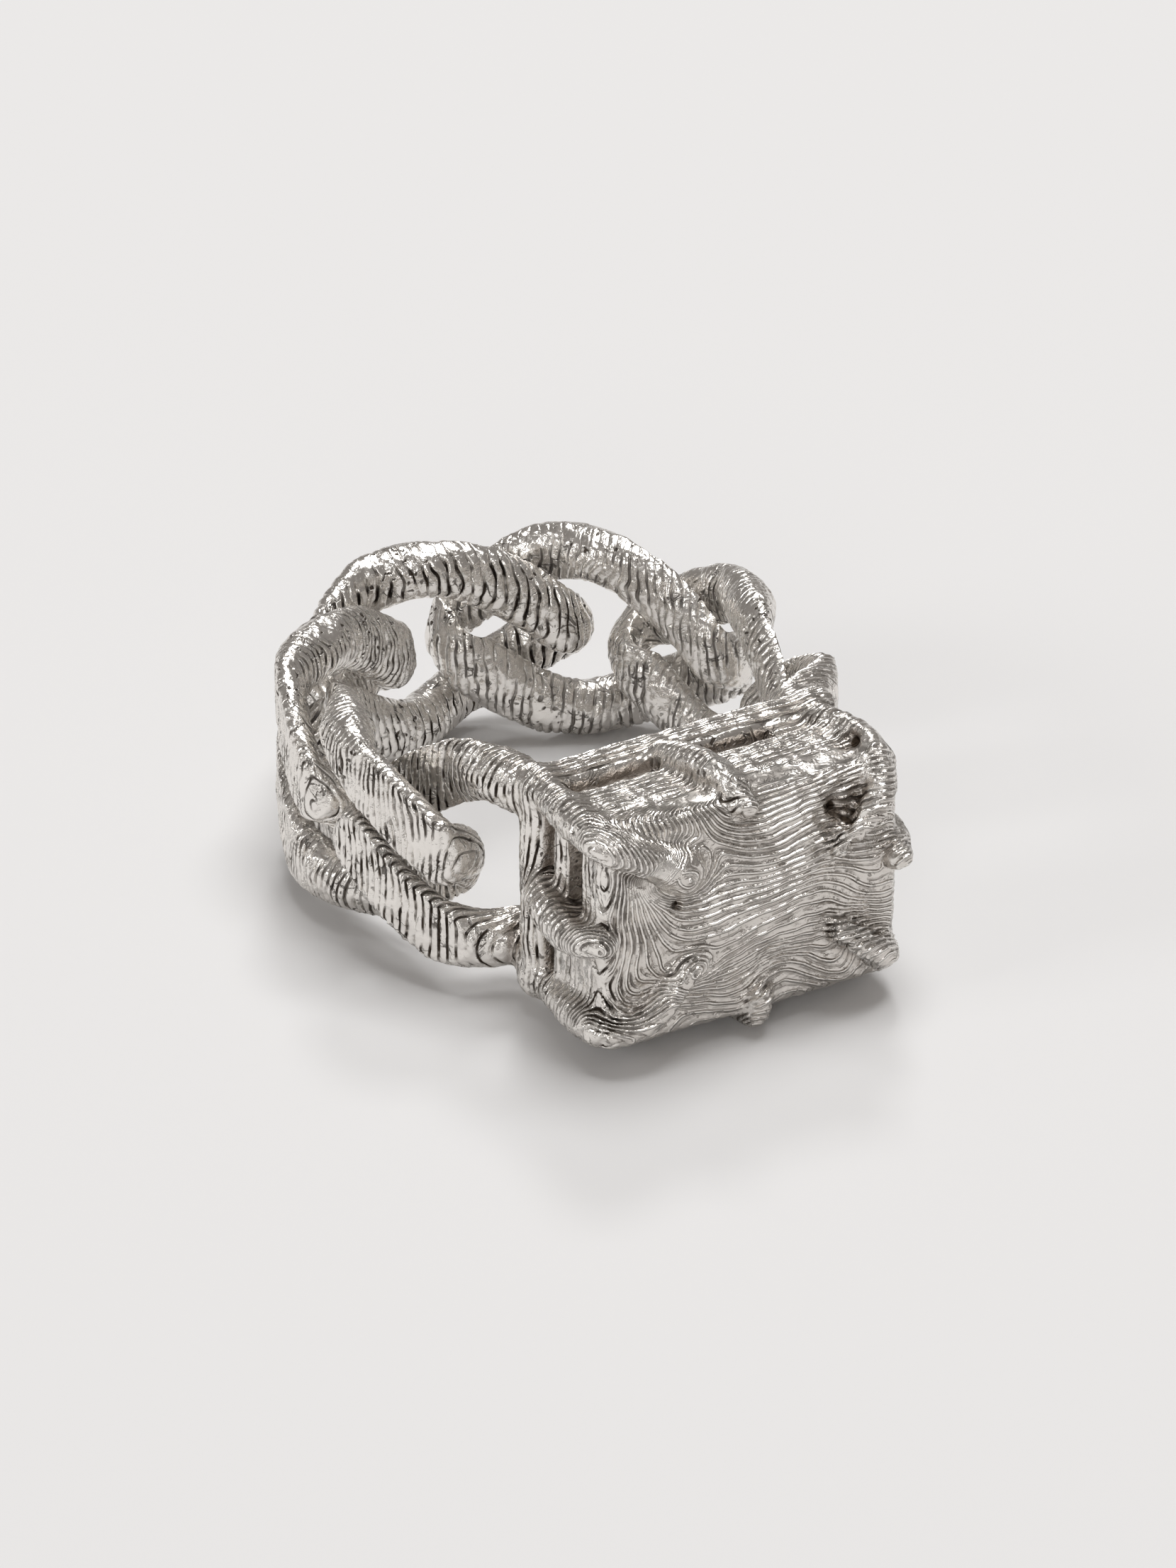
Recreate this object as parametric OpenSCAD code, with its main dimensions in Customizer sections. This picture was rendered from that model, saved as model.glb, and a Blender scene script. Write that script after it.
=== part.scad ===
// Chain link finger ring, all one metal: five loose curb links, and a head that closes the chain.
// The head is a block held by eight claws on a wire frame, with an end loop cast on at each side.
// Millimetres, +Z up. The ring lies on its side on z = 0, its head toward -Y.

/* [Ring] */
// diameter of the finger hole
finger_d = 18.8; // [16.9:0.1:20.7]
// thickness of the chain from the finger outward
band_t = 3.55; // [3.4:0.05:3.8]
// angle that the head's lowest claw lifts the ring by
lean = 3; // [0:0.1:4.5]

/* [Links] */
// full length of a link along the ring, wire centre to wire centre
link_len = 13.6; // [12.2:0.1:15.2]
// full height of a link, wire centre to wire centre
link_h = 7.75; // [7.65:0.05:8.1]
// wire diameter of a link
wire_d = 2.78; // [2.4:0.02:2.82]
// how much wider a strand grows where two cross, as a share of the wire
wide = 0.16; // [0:0.01:0.18]
// twist from the middle of a link to its end
twist = 72; // [70:0.5:75]
// how square a link's ends are, 1 being an ellipse
end_power = 0.67; // [0.62:0.01:0.8]
// least room between the tips of two links, inside the link that joins them
tip_gap = 0.8; // [0.5:0.05:1.2]

/* [Head] */
// width of the block along the chain
head_w = 14.8; // [13.8:0.1:15.6]
// height of the block along the finger
head_h = 11.1; // [10.4:0.1:11.6]
// distance from the finger axis to the block's front face
head_reach = 16.6; // [15:0.1:18.2]
// thickness of the block
block_t = 4.5; // [4:0.1:5]
// how much further the block reaches on its right than on its left
block_right = 0.6; // [0:0.05:0.8]
// how much further the block reaches below the middle than above it
block_low = 0.5; // [0:0.05:0.6]
// how far the face bulges in the middle
crown = 0.7; // [0.2:0.05:1.2]
// rounding of the block's edges
edge_r = 0.9; // [0.5:0.05:1.3]
// wire diameter of the back frame
rail_d = 2.1; // [1.8:0.05:2.4]
// wire diameter of the claws
claw_d = 1.9; // [1.6:0.05:2.1]
// clear room between the back frame and the block
frame_gap = 0.59; // [0.4:0.01:0.8]
// depth of the slot in each side of the block
slot_t = 0.9; // [0.4:0.05:1.4]
// width of that slot
slot_w = 1; // [0.6:0.05:1.4]
// distance from the face to the middle of that slot
slot_in = 2.8; // [2:0.1:3.4]
// thickness of the web between frame and block
web_t = 1.2; // [0.8:0.05:1.6]

/* [Hidden] */
inner_r = finger_d / 2;
outer_r = inner_r + band_t;
mid_r = inner_r + band_t / 2;
wire_r = wire_d / 2;
rail_y = inner_r + rail_d / 2;
brace_d = claw_d * 0.68;
block_back = max(head_reach - block_t, inner_r + rail_d + frame_gap);
brace_y = -block_back - brace_d * 0.23;
metal = [0.8, 0.79, 0.77];
full_swing = wire_d * 0.6;
tip_room = wire_d * 0.15;
link_rings = 50;
link_sides = 12;
claw_sides = 10;

// one row per link: angle from the head in degrees, then shares of link_len, link_h and wire_d,
// the rise and the outward push as shares of wire_d
ANGLE = 0;
LENGTH = 1;
HEIGHT = 2;
WIRE = 3;
RISE = 4;
PUSH = 5;
left_loop = [-43.5, 1, 1.06, 1, 0.11, 0];
link_rows = [
    [-88.3, 0.975, 0.985, 1, 0.03, 0],
    [-129.4, 1.02, 1, 1, 0.02, 0],
    [-175.5, 1.05, 1.015, 1, 0.07, 0],
    [-218.7, 1, 1.025, 0.985, -0.02, 0],
    [-262.8, 0.985, 1, 0.95, -0.185, -0.045],
];
right_loop = [51, 1, 0.91, 0.95, -0.195, -0.105];

// where two strands cross, each keeps to its own half of the band: its middle's distance from the band's
// middle, its room outward and its room inward, as shares of band_t
MIDDLE = 0;
OUTWARD = 1;
INWARD = 2;
inner_strand = [0.2, 0.085, 0.31];
outer_strand = [0.34, 0.28, 0.27];

// one claw per table, one row per point: share of head_w / 2, share of the way from the frame to
// the face, share of head_h / 2, share of claw_d
top_left_claw = [
    [-0.94, -0.04, 0.86, 0.8],
    [-0.99, 0.45, 0.88, 1],
    [-0.98, 0.92, 0.86, 1],
    [-0.78, 1.05, 0.72, 0.95],
    [-0.49, 1, 0.48, 1.25],
];
top_right_claw = [
    [0.86, -0.02, 0.86, 0.8],
    [0.92, 0.48, 0.95, 0.89],
    [0.9, 0.87, 0.94, 0.95],
    [0.84, 1.1, 0.68, 0.84],
    [0.58, 1.07, 0.34, 0.68],
];
low_left_claw = [
    [-0.94, -0.04, -0.86, 0.8],
    [-0.99, 0.51, -0.85, 1],
    [-0.97, 0.92, -0.83, 1],
    [-0.73, 1.05, -0.76, 0.84],
    [-0.41, 1.05, -0.36, 0.79],
];
low_right_claw = [
    [0.94, -0.03, -0.86, 0.8],
    [0.99, 0.51, -0.85, 0.95],
    [0.97, 0.92, -0.85, 0.95],
    [0.84, 1.07, -0.72, 0.84],
    [0.58, 1.08, -0.43, 0.74],
];
top_claw = [
    [-0.19, 0.02, 0.87, 0.85],
    [-0.16, 0.41, 1.04, 0.89],
    [-0.11, 0.77, 1.07, 0.89],
    [-0.05, 1.02, 0.92, 0.79],
];
low_claw = [
    [0.05, 0.02, -0.87, 0.85],
    [0.06, 0.5, -1, 0.89],
    [0.04, 0.93, -1.05, 0.89],
    [0.06, 1.04, -0.87, 0.75],
];
left_claw = [
    [-0.95, -0.02, 0.13, 0.85],
    [-1.07, 0.28, 0.02, 0.95],
    [-1.08, 0.67, -0.07, 0.95],
    [-1, 0.98, -0.02, 0.79],
];
right_claw = [
    [0.95, -0.01, 0.04, 0.85],
    [1.07, 0.28, 0.07, 0.89],
    [1.11, 0.74, 0.09, 0.89],
    [1.01, 1.05, 0.07, 0.79],
];
claws = [top_left_claw, top_right_claw, low_left_claw, low_right_claw,
    top_claw, low_claw, left_claw, right_claw];

// a link is never too short for the tips of the next ones to turn inside it, whatever the finger hole
chain_arc = mid_r * (360 + left_loop[ANGLE] - right_loop[ANGLE]) * PI / 180;
link_span = max(link_len, 1.54 * chain_arc / (len(link_rows) + 1));

// the chain's path is a circle, whose back half moves back by chain_slack, along two straight
// stretches, when the links need more room than the circle has
chain_run = (len(link_rows) + 1) * (link_span + wire_d + tip_gap) / 2;
chain_slack = max(0, chain_run - chain_arc) / 2;

function unit(v) = v / norm(v);
function signed_power(v, p) = sign(v) * pow(abs(v), p);
function lying(p) = [p.x, p.y * cos(lean) + p.z * sin(lean), p.z * cos(lean) - p.y * sin(lean)];

// distances along the path are taken from the middle of the back, positive to the head's left
function straight_part(s) = min(max(abs(s) - mid_r * PI / 2, 0), chain_slack);
function path_angle(s) = 90 + sign(s) * (abs(s) - straight_part(s)) / mid_r * 180 / PI;
function path_middle(s) = [0, chain_slack - straight_part(s), 0];
function link_place(row) = (row[ANGLE] > 0 ? row[ANGLE] - 180 : row[ANGLE] + 180) * mid_r * PI / 180
    * (1 + 2 * chain_slack / chain_arc);

// a point of a link's centre line, u going once round the loop in 360 degrees
function link_a(row, u) = row[LENGTH] * link_span / 2 * cos(u);
function link_b(row, u) = row[HEIGHT] * link_h / 2 * signed_power(sin(u), end_power);
function link_turn(row, u) = twist * cos(u);
// how far the strand has swung over: -1 is all the way to the finger, 1 to the outside of the band
function swing(row, u) = max(-1, min(1, link_b(row, u) * sin(link_turn(row, u)) / full_swing));
function half_of(s) = s < 0 ? inner_strand : outer_strand;
function link_radius(row, u) = let (s = swing(row, u)) mid_r + s * half_of(s)[MIDDLE] * band_t;
function link_z(row, u) = row[RISE] * wire_d + link_b(row, u) * cos(link_turn(row, u));
function link_push(row) = let (a = path_angle(link_place(row))) row[PUSH] * wire_d * [cos(a), sin(a), 0];
function link_point(row, u) =
    let (s = link_place(row) + link_a(row, u), a = path_angle(s), r = link_radius(row, u))
    path_middle(s) + [r * cos(a), r * sin(a), link_z(row, u)];

// the wire's room on one side of its centre line: a circle's where it is free, the strand's where it has
// swung over, and little on the inside of the turn at a tip, so that the turn doesn't fold
function room(row, u, side) =
    let (s = swing(row, u), outer_side = (side > 0) == (sin(u) >= 0),
        swung = half_of(s)[outer_side ? OUTWARD : INWARD] * band_t,
        free = side * cos(u) < -0.7 ? tip_room : wire_r * row[WIRE])
    abs(s) * swung + (1 - abs(s)) * free;

// a ring round the centre line, wide along the upright, with its room on either side of that
function section(c, along, width, room_over, room_under, n) =
    let (level = unit([0, 0, 1] - along.z * along), over = cross(level, along))
    [for (k = [0 : n - 1]) let (a = 360 * k / n)
        c + width * cos(a) * level + (sin(a) < 0 ? room_under : room_over) * sin(a) * over];
function link_section(row, u, c, along) =
    section(c, along, wire_r * row[WIRE] * (1 + wide * abs(swing(row, u))), room(row, u, 1), room(row, u, -1),
        link_sides);

// a wire is flattened where it would pass the finger hole or the outside of the band
function outward(p) = [p.x, p.y - min(max(p.y, 0), chain_slack), 0];
function flattened(p) = let (r = norm(outward(p))) p + outward(p) * (min(max(r, inner_r), outer_r) / r - 1);
function wire_ring(c, along, out, r, n) =
    let (side = unit(cross(along, out)), up = cross(side, along))
    [for (k = [0 : n - 1]) c + r * (cos(360 * k / n) * side + sin(360 * k / n) * up)];

// values at even steps along a closed curve, from those at its many points
function run_of(p) = [for (i = 0, s = 0; i < len(p); i = i + 1, s = s + norm(p[i % len(p)] - p[i - 1])) s];
function even_steps(values, run, n) = [for (k = [0 : n - 1])
    let (want = k * run[len(run) - 1] / n, i = max([for (j = [0 : len(run) - 2]) run[j] <= want ? j : 0]))
    values[i] + (values[i + 1] - values[i]) * (want - run[i]) / (run[i + 1] - run[i])];

function smoothed(p, n) = let (q = concat([2 * p[0] - p[1]], p, [2 * p[len(p) - 1] - p[len(p) - 2]]))
    concat([for (i = [1 : len(q) - 3], k = [0 : n - 1]) spline(q[i - 1], q[i], q[i + 1], q[i + 2], k / n)],
        [p[len(p) - 1]]);
function spline(a, b, c, d, t) =
    (2 * b + (c - a) * t + (2 * a - 5 * b + 4 * c - d) * t * t + (3 * b - a - 3 * c + d) * t * t * t) / 2;

function ring_faces(rows, n, from) = [for (i = [0 : rows - 1], k = [0 : n - 1], half = [0, 1])
    let (a = from(i) + k, b = from(i) + (k + 1) % n, c = from(i + 1) + (k + 1) % n, d = from(i + 1) + k)
    half == 0 ? [a, b, c] : [a, c, d]];

// skin over a list of rings, joined end to start, or closed by a flat at each end
module skin(rings, closed) {
    n = len(rings[0]);
    count = len(rings);
    walls = ring_faces(closed ? count : count - 1, n, function (i) (i % count) * n);
    start = [for (k = [n - 1 : -1 : 0]) k];
    end = [for (k = [0 : n - 1]) (count - 1) * n + k];
    polyhedron([for (r = rings, p = r) p], closed ? walls : concat(walls, [start, end]), convexity = 6);
}

// a wire along a list of points with a radius each, its ends rounded over
module wire(p, r, n) {
    last = len(p) - 1;
    t = [for (i = [0 : last]) unit(p[min(i + 1, last)] - p[max(i - 1, 0)])];
    out = [0.31, -0.2, 0.93];
    first_end = [for (e = [80, 40]) wire_ring(p[0] - t[0] * r[0] * sin(e), t[0], out, r[0] * cos(e), n)];
    last_end = [for (e = [40, 80]) wire_ring(p[last] + t[last] * r[last] * sin(e), t[last], out,
        r[last] * cos(e), n)];
    body = [for (i = [0 : last]) wire_ring(p[i], t[i], out, r[i], n)];
    skin(concat(first_end, body, last_end), false);
}

module lie_down() {
    translate([0, rise * tan(lean), rise])
    rotate([-lean, 0, 0])
    children();
}

module link(row) {
    turns = [for (u = [0 : 4 : 360]) u];
    at = even_steps(turns, run_of([for (u = turns) link_point(row, u)]), link_rings);
    p = [for (u = at) link_point(row, u)];
    n = link_rings;
    rings = [for (i = [0 : n - 1]) let (along = unit(p[(i + 1) % n] - p[(i + n - 1) % n]))
        [for (q = link_section(row, at[i], p[i], along)) flattened(q) + link_push(row)]];
    skin(rings, true);
}

// the open loop cast on the head: its two strands end in the frame's corners at side * head_w / 2
module end_loop(row, side) {
    reach = 96;
    mid_u = side < 0 ? 180 : 0;
    top = [side * head_w * 0.47, -rail_y, head_h * 0.42];
    low = [top.x, top.y, -top.z];
    end_r = wire_r * row[WIRE] * 0.6;
    turns = [for (u = [-reach : 6.4 : reach]) mid_u + u];
    strand = [for (u = turns) link_point(row, u)];
    first = strand[0].z > 0 ? top : low;
    last = strand[0].z > 0 ? low : top;
    p = concat([first], strand, [last]);
    n = len(p) - 1;
    rings = [for (i = [0 : n]) let (along = unit(p[min(i + 1, n)] - p[max(i - 1, 0)]))
        [for (q = i % n == 0 ? section(p[i], along, end_r, end_r, end_r, link_sides)
            : link_section(row, turns[i - 1], p[i], along)) flattened(q) + link_push(row)]];
    skin(rings, false);
}

function head_point(row) = [
    row[0] * head_w / 2,
    -rail_y - row[1] * (head_reach - rail_y),
    row[2] * head_h / 2,
];

module claw(rows) {
    p = smoothed([for (row = rows) head_point(row)], 3);
    r = smoothed([for (row = rows) row[3] * claw_d / 2], 3);
    wire(p, r, claw_sides);
}

// straight wire between two points given as shares of head_w / 2 and head_h / 2
module bar(x1, z1, x2, z2, y, d) {
    hull() {
        translate([x1 * head_w / 2, y, z1 * head_h / 2]) sphere(d = d, $fn = 12);
        translate([x2 * head_w / 2, y, z2 * head_h / 2]) sphere(d = d, $fn = 12);
    }
}

// block with rounded edges and a bulging face, further out at its right and at its foot
module block() {
    x = head_w / 2 - edge_r;
    z = head_h / 2 - edge_r;
    right = x + block_right;
    low = z + block_low;
    back = head_reach - block_t + edge_r;
    front = head_reach - edge_r;
    hull() {
        for (sx = [-x, right], sz = [-low, z], y = [-back, -front]) {
            translate([sx, y, sz]) sphere(r = edge_r, $fn = 12);
        }
    }
    hull() {
        translate([block_right / 2, -front, -block_low / 2])
        scale([(x + right) * 0.45, edge_r + crown, (z + low) * 0.45])
        sphere(r = 1, $fn = 20);
    }
}

// upright slot in the block's side, behind its front edge
module side_slot(side) {
    face_x = side < 0 ? -head_w / 2 : head_w / 2 + block_right;
    translate([face_x, -head_reach + slot_in, head_h * 0.18])
    cube([2 * slot_t, slot_w, head_h * 0.3], center = true);
}

// web that closes the gap between frame and block at the right of the top
module top_web() {
    translate([head_w * 0.36, -(rail_y + block_back) / 2 - frame_gap / 2, head_h * 0.41])
    cube([head_w * 0.19, rail_d, web_t], center = true);
}

module frame(d) {
    bar(-0.95, 0.86, 0.95, 0.86, -rail_y, d);
    bar(-0.95, -0.86, 0.95, -0.86, -rail_y, d);
    bar(-0.95, 0.86, -0.95, -0.86, -rail_y, d);
    bar(0.95, 0.86, 0.95, -0.86, -rail_y, d);
}

module head() {
    color(metal)
    lie_down() {
        // a block that comes close behind the frame is relieved round it, so that its slots stay open
        difference() {
            block();
            side_slot(-1);
            side_slot(1);
            frame(rail_d + 2 * frame_gap);
        }
        frame(rail_d);
        bar(-0.93, 0.84, -0.93, -0.84, brace_y, brace_d);
        bar(0.93, 0.84, 0.93, -0.84, brace_y, brace_d);
        top_web();
        for (c = claws) {
            claw(c);
        }
        end_loop(left_loop, -1);
        end_loop(right_loop, 1);
    }
}

module link_1() {
    color(metal) lie_down() link(link_rows[0]);
}

module link_2() {
    color(metal) lie_down() link(link_rows[1]);
}

module link_3() {
    color(metal) lie_down() link(link_rows[2]);
}

module link_4() {
    color(metal) lie_down() link(link_rows[3]);
}

module link_5() {
    color(metal) lie_down() link(link_rows[4]);
}

// height that puts the lowest wire on z = 0
low_links = [for (row = link_rows, u = [180 : 10 : 360]) lying(link_point(row, u)).z - wire_r * row[WIRE]];
low_claws = [for (c = claws, row = smoothed(c, 6)) lying(head_point(row)).z - row[3] * claw_d / 2];
rise = -min(concat(low_links, low_claws));

head();
link_1();
link_2();
link_3();
link_4();
link_5();
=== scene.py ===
# Chain link ring, cast in silver from a coarse print: five loose curb links, and a claw head with an end loop
# on either side.
# Shapes are worked out in millimetres, with the finger axis along Z and the head toward -Y,
# then laid on the floor and turned into metres.
import math
import bpy
import numpy as np
from mathutils import Matrix, Vector


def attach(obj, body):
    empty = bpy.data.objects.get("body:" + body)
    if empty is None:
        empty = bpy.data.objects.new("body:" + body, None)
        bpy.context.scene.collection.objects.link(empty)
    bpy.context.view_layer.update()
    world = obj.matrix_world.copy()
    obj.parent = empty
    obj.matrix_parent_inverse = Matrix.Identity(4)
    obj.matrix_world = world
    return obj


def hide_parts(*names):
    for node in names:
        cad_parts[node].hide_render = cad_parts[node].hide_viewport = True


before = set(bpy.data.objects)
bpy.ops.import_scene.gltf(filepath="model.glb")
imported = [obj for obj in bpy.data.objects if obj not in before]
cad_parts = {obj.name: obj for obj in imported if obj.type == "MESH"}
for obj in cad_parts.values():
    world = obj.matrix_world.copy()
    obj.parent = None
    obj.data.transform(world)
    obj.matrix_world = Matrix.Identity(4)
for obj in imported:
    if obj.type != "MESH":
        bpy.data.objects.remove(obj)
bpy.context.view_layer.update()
print("frame loaded:", len(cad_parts), "nodes")

ring = {
    "fingerD": 18.8,  # across the finger hole
    "bandT": 3.55,  # from the finger outward
    "lean": 3.0,  # degrees that the lowest claw lifts the head
    "wireD": 2.78,
    "wide": 0.16,  # share that a strand widens by once it has swung over
    "linkLen": 13.6,  # wire centre to wire centre
    "linkH": 7.75,
    "twist": 72.0,  # degrees from a link's middle to its end
    "endPower": 0.67,  # under 1 squares a link's ends
}
innerR = ring["fingerD"] / 2
outerR = innerR + ring["bandT"]
midR = innerR + ring["bandT"] / 2
wireR = ring["wireD"] / 2


def unit(v):
    # v over its own length
    return v / np.maximum(np.linalg.norm(v, axis=-1, keepdims=True), 1e-9)


def smoothStep(low, high, x):
    # 0 below low, 1 above high, and a smooth S between
    t = np.clip((x - low) / (high - low), 0, 1)
    return t * t * (3 - 2 * t)


def softTop(x, top, round_):
    # x, bent over so that it never passes top; round_ is the size of the bend
    return top - round_ * np.logaddexp(0, (top - x) / round_)


def waves(p, size, seed, count=12):
    # smooth noise of about -1 to 1: plane waves of roughly that wavelength, in seeded directions, added up
    rng = np.random.default_rng(seed)
    turn = unit(rng.normal(size=(count, 3))) * (2 * np.pi / size * rng.uniform(0.6, 1.5, (count, 1)))
    return np.sin(p @ turn.T + rng.uniform(0, 2 * np.pi, count)).sum(-1) / math.sqrt(count)


def waveSum(p, rows, seed=0):
    # waves of several sizes added up; each row has how much, over what length, and what is added to the seed
    return sum(much * waves(p, size, seed + more) for much, size, more in rows)


def layDown(p, lift):
    # turns about X by the lean, then lifts, as the ring lies on its lowest claw
    a = math.radians(ring["lean"])
    y = p[..., 1] * math.cos(a) + p[..., 2] * math.sin(a) + lift * math.tan(a)
    z = p[..., 2] * math.cos(a) - p[..., 1] * math.sin(a) + lift
    return np.stack([p[..., 0], y, z], -1)


# Layer lines: the print was sliced in flat layers, and the slices show as ribs round every part
layers = {
    "depth": 0.095,  # of a groove between two ribs, in millimetres
    "width": 0.065,  # from a groove's middle to where a third of its depth is left
    "round": 0.02,  # how far the ribs between the grooves are rounded
    "patches": [(0.65, 2.6, 0), (0.55, 0.8, 1)],  # how much the grooves come and go, and over what length
    "patchMean": 0.75, "patchMost": 1.7,
    "swells": [(0.024, 1.3, 2), (0.013, 0.45, 3)],  # height and length of the slow waves in the skin
    "swellMean": 0.0592,  # how far they move the skin inward on average
    "pits": 70,  # dents on a piece
    "pitR": (0.08, 0.26),  # their least and greatest radius
    "pitDepth": 0.12,  # of the greatest
    "leastOnLinks": 0.1, "leastOnHead": 0.4,  # the faintest that a groove gets, as a share
    "linksWorn": 0.82, "headWorn": 0.3,  # share of the relief that is rubbed off the tops
    "topFrom": 0.4, "topFull": 0.9,  # upward part of the normal where wear begins, and where it is full
}


def layerRelief(p, phase, spacing, seed, strength, least):
    # how far each point moves inward: depth * exp(-(distance to the nearest whole phase / width)^2), plus a
    # cosine that is highest there too, both times a patchy share, plus slow waves and dents
    # spacing is how far apart whole phases lie on the skin
    away = np.abs(phase - np.round(phase)) * np.clip(spacing, 0.05, 9)
    valley = np.exp(-(away / layers["width"]) ** 2)
    patchy = np.clip(layers["patchMean"] + waveSum(p, layers["patches"], seed), least, layers["patchMost"])
    patchy = patchy * strength
    into = layers["depth"] * valley * patchy
    into += layers["round"] * (1 + np.cos(2 * np.pi * phase)) / 2 * patchy
    into += layers["swellMean"] + waveSum(p, layers["swells"], seed)
    rng = np.random.default_rng(seed + 4)
    for centre in rng.choice(len(p), layers["pits"], replace=False):
        r = rng.uniform(*layers["pitR"])
        far2 = ((p - p[centre]) ** 2).sum(-1)
        into += layers["pitDepth"] * r / layers["pitR"][1] * np.exp(-far2 / (r * 0.6) ** 2)
    return np.maximum(into, 0)


def polished(normal, worn):
    # how much of the relief is left: tops are worn smooth
    return 1 - worn * smoothStep(layers["topFrom"], layers["topFull"], normal[:, 2])


def makePiece(name, p, faces, marks, node, material, lift):
    # p is in millimetres; marks are numbers kept at each vertex for the material
    mesh = bpy.data.meshes.new(name)
    mesh.from_pydata((layDown(p, lift) / 1000).tolist(), [], faces.tolist())
    for mark, values in marks.items():
        store = mesh.attributes.new(mark, "FLOAT", "POINT")
        store.data.foreach_set("value", values.astype(np.float32).ravel())
    mesh.polygons.foreach_set("use_smooth", np.ones(len(mesh.polygons), bool))
    mesh.materials.append(material)
    mesh.update()
    piece = bpy.data.objects.new(name, mesh)
    bpy.context.scene.collection.objects.link(piece)
    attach(piece, "root")
    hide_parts(node)
    print("made", name, len(mesh.polygons), "quads")


# Links, and the end loops cast on the head: each row has its angle from the head in degrees, then shares of
# linkLen, linkH and wireD, and the rise and outward push as shares of wireD
loops = {
    "left": dict(angle=-43.5, length=1, height=1.06, wire=1, rise=0.11, push=0),
    "right": dict(angle=51, length=1, height=0.91, wire=0.95, rise=-0.195, push=-0.105),
}
links = {
    "link_1": dict(angle=-88.3, length=0.975, height=0.985, wire=1, rise=0.03, push=0),
    "link_2": dict(angle=-129.4, length=1.02, height=1, wire=1, rise=0.02, push=0),
    "link_3": dict(angle=-175.5, length=1.05, height=1.015, wire=1, rise=0.07, push=0),
    "link_4": dict(angle=-218.7, length=1, height=1.025, wire=0.985, rise=-0.02, push=0),
    "link_5": dict(angle=-262.8, length=0.985, height=1, wire=0.95, rise=-0.185, push=-0.045),
}
# pitch of each link's layer lines, and how strongly they show
linkLines = {"link_1": (0.29, 1), "link_2": (0.32, 1), "link_3": (0.5, 1.3), "link_4": (0.44, 0.8),
             "link_5": (0.33, 0.75)}
linkGrid = {
    "along": 600, "around": 106,  # points along a link's wire and round it
    "fine": 2401,  # points that its length is measured with
    "edge": 0.05,  # rounding where the wire is pressed flat
    "inset": 0.02,  # under the solid's skin
    "softenings": 36,
    "wander": [(0.16, 5, 0), (0.05, 1.2, 1)],  # how far the lines stray, and over what length
    "leastSlope": 0.12,  # keeps the lines from running wide where the skin lies flat in a layer
}
# a strand that has swung over keeps to its half of the band; its two rows are shares of bandT
strands = {
    "inner": dict(middle=0.2, outward=0.085, inward=0.31),
    "outer": dict(middle=0.34, outward=0.28, inward=0.27),
    "fullSwing": 0.6,  # of wireD, how far a strand swings before it is all the way over
    "tipRoom": 0.15,  # of wireD, on the inside of the turn at a link's tip
    "tipFrom": 0.7,  # share of half a link's length from which its tip counts
}


def linkCurve(row, u):
    # a loop laid along the band: an ellipse with squared ends, turned about its length by twist * cos(u);
    # its distance from the band's middle is bent into the strand's half, swing going from -1 to 1
    a = row["length"] * ring["linkLen"] / 2 * np.cos(u)
    b = row["height"] * ring["linkH"] / 2 * np.sign(np.sin(u)) * np.abs(np.sin(u)) ** ring["endPower"]
    turn = math.radians(ring["twist"]) * np.cos(u)
    swing = np.clip(b * np.sin(turn) / (strands["fullSwing"] * ring["wireD"]), -1, 1)
    middle = np.where(swing < 0, strands["inner"]["middle"], strands["outer"]["middle"])
    angle = math.radians(row["angle"] - 90) + a / midR
    r = midR + swing * middle * ring["bandT"]
    z = row["rise"] * ring["wireD"] + b * np.cos(turn)
    return np.stack([r * np.cos(angle), r * np.sin(angle), z], -1), swing


def linkRooms(row, u, swing):
    # half width of the wire, and its room over and under its centre line: round where it is free, the
    # strand's own where it has swung over, and little on the inside of the turn at a tip
    wire = wireR * row["wire"]
    inner, outer = strands["inner"], strands["outer"]
    rooms = []
    for side in (1, -1):
        outerSide = (side > 0) == (np.sin(u) >= 0)
        swung = np.where(swing < 0, np.where(outerSide, inner["outward"], inner["inward"]),
                         np.where(outerSide, outer["outward"], outer["inward"]))
        free = np.where(side * np.cos(u) < -strands["tipFrom"], strands["tipRoom"] * ring["wireD"], wire)
        rooms.append(np.abs(swing) * swung * ring["bandT"] + (1 - np.abs(swing)) * free)
    return wire * (1 + ring["wide"] * np.abs(swing)), rooms[0], rooms[1]


def upright(tangent):
    # the axis a wire is wide along, and the one its room is measured along
    level = unit(np.array([0, 0, 1.0]) - tangent * tangent[..., 2:])
    return level, np.cross(level, tangent)


def evenTurns(row, n):
    # n turns u that stand at even distances along a link's loop
    u = np.linspace(0, 2 * np.pi, linkGrid["fine"])
    line = linkCurve(row, u)[0]
    run = np.concatenate([[0], np.cumsum(np.linalg.norm(np.diff(line, axis=0), axis=1))])
    return np.interp(np.arange(n) * run[-1] / n, run, u)


def inBand(p, edge):
    # presses points back between the finger hole and the band's outside, with edges rounded by edge
    r = np.linalg.norm(p[..., :2], axis=-1)
    pressed = softTop(r, outerR, edge)
    pressed = -softTop(-pressed, -innerR, edge)
    return np.concatenate([p[..., :2] * (pressed / r)[..., None], p[..., 2:]], -1)


def gridNormals(p):
    # outward normals of a grid that closes both ways, along first and around second
    along = np.roll(p, -1, 0) - np.roll(p, 1, 0)
    around = np.roll(p, -1, 1) - np.roll(p, 1, 1)
    return unit(np.cross(along, around))


def gridFaces(n, m):
    # quads of a grid that closes both ways
    i, k = np.meshgrid(np.arange(n), np.arange(m), indexing="ij")
    a, b = i * m + k, i * m + (k + 1) % m
    c, d = (i + 1) % n * m + (k + 1) % m, (i + 1) % n * m + k
    return np.stack([a, d, c, b], -1).reshape(-1, 4)


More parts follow.
